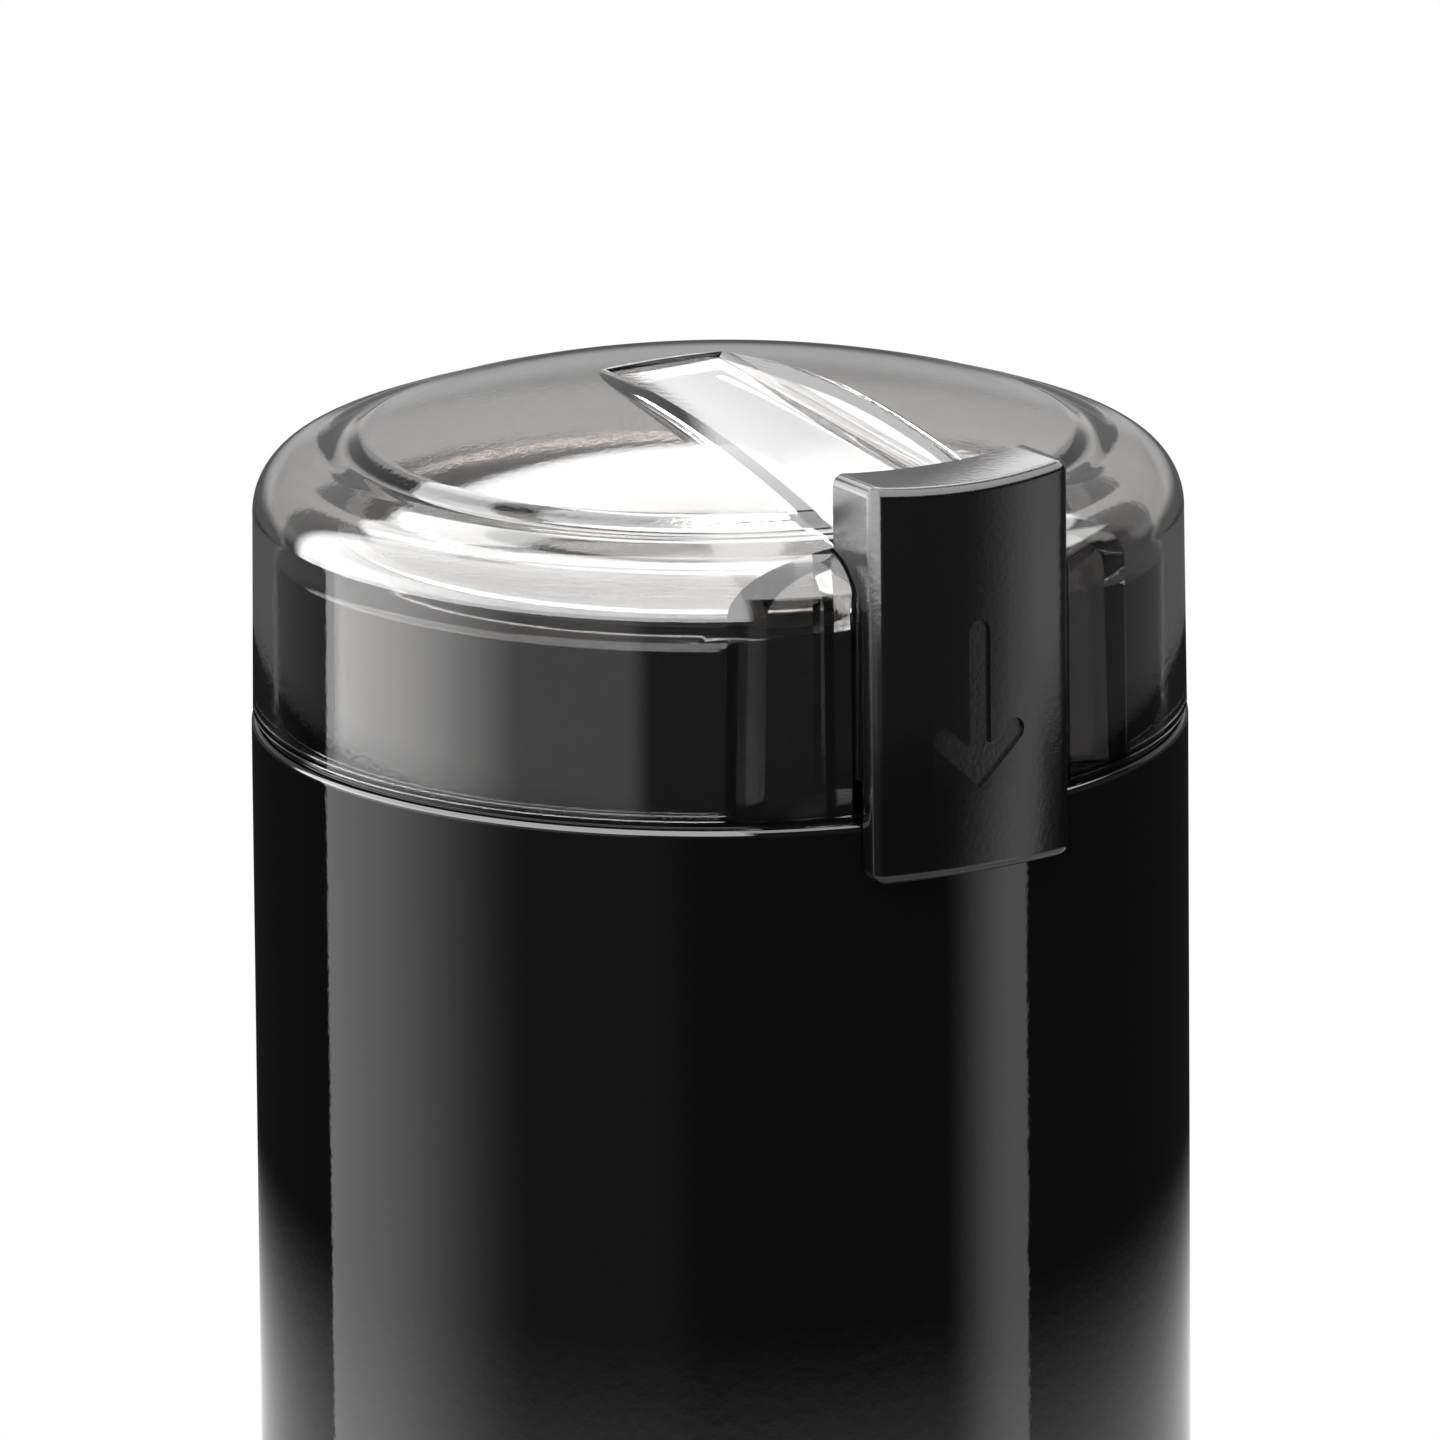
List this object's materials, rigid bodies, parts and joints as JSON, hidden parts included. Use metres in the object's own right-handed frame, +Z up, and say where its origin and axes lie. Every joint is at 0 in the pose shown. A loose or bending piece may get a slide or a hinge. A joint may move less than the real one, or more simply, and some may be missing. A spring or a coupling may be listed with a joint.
{
  "type": "electric spice grinder",
  "caption": "Round gloss-black spice grinder with a smoked clear lid, a steel bowl with a spinning blade, and a tall push button in the front of the lid.",
  "frame": {"origin": "on the motor's axis, on the surface that the rubber feet stand on", "axes": "+Z up along the motor's axis, -Y towards the push button, +X to the right of someone facing the button"},
  "size_m": [0.0882, 0.093, 0.1657],
  "materials": {
    "gloss_black": "gloss",
    "satin_black": "satin gloss",
    "smoked_clear": "clear gloss, smoked warm grey",
    "black_plastic": "matte",
    "grey_plastic": "matte",
    "bakelite": "satin",
    "blue_film": "gloss",
    "stainless": "brushed",
    "steel": "satin",
    "iron_sheet": "laminated",
    "copper": "enamelled wire",
    "bronze": "sintered",
    "carbon": "matte",
    "rubber": "matte"
  },
  "bodies": {
    "housing": {"body_shell": "gloss_black", "bowl_carrier": "gloss_black", "base_ring": "gloss_black", "base_cover": "black_plastic", "base_screws": "steel", "rubber_feet": "rubber", "cord_gland": "rubber", "grinding_bowl": "stainless", "bowl_gasket": "rubber", "shaft_seal": "rubber", "motor_mount_plate": "grey_plastic", "mount_screws": "steel", "motor_bushes": "rubber", "bush_screws": "steel", "stator_core": "iron_sheet", "field_coils": "copper", "upper_bearing_bracket": "steel", "lower_bearing_bracket": "bakelite", "upper_bearing": "bronze", "lower_bearing": "bronze", "motor_bolts": "steel", "brush_holders": "bronze", "carbon_brushes": "carbon", "brush_springs": "steel", "switch_bracket": "steel", "microswitch": "bakelite", "switch_terminals": "bronze", "switch_screws": "steel", "plunger_spring": "steel", "terminal_block": "grey_plastic", "suppression_capacitor": "blue_film"},
    "rotor": {"rotor_shaft": "steel", "armature_core": "iron_sheet", "armature_winding": "copper", "commutator": "copper", "cooling_fan": "grey_plastic", "grinding_blade": "stainless", "blade_nut": "stainless"},
    "lid": {"lid_shell": "smoked_clear", "button_guide": "smoked_clear", "button_springs": "steel"},
    "button": {"push_button": "satin_black"},
    "plunger": {"switch_plunger": "grey_plastic"}
  },
  "joints": [
    {"name": "lid_lift", "type": "slide", "parent": "housing", "child": "lid", "axis": [0, 0, 1], "range_m": [0, 0.06]},
    {"name": "button_press", "type": "slide", "parent": "lid", "child": "button", "axis": [0, 0, -1], "range_m": [0, 0.003], "stiffness_N_per_m": 1500, "springref_m": -0.002, "deforming": ["button_springs"]},
    {"name": "plunger_press", "type": "slide", "parent": "housing", "child": "plunger", "axis": [0, 0, -1], "range_m": [0, 0.003], "stiffness_N_per_m": 300, "springref_m": -0.002, "deforming": ["plunger_spring"]},
    {"name": "rotor_spin", "type": "hinge", "parent": "housing", "child": "rotor", "pos_m": [0, 0, 0], "axis": [0, 0, 1], "continuous": true}
  ],
  "couplings": [
    {"joint": "plunger_press", "follows": "button_press", "ratio": 1}
  ]
}
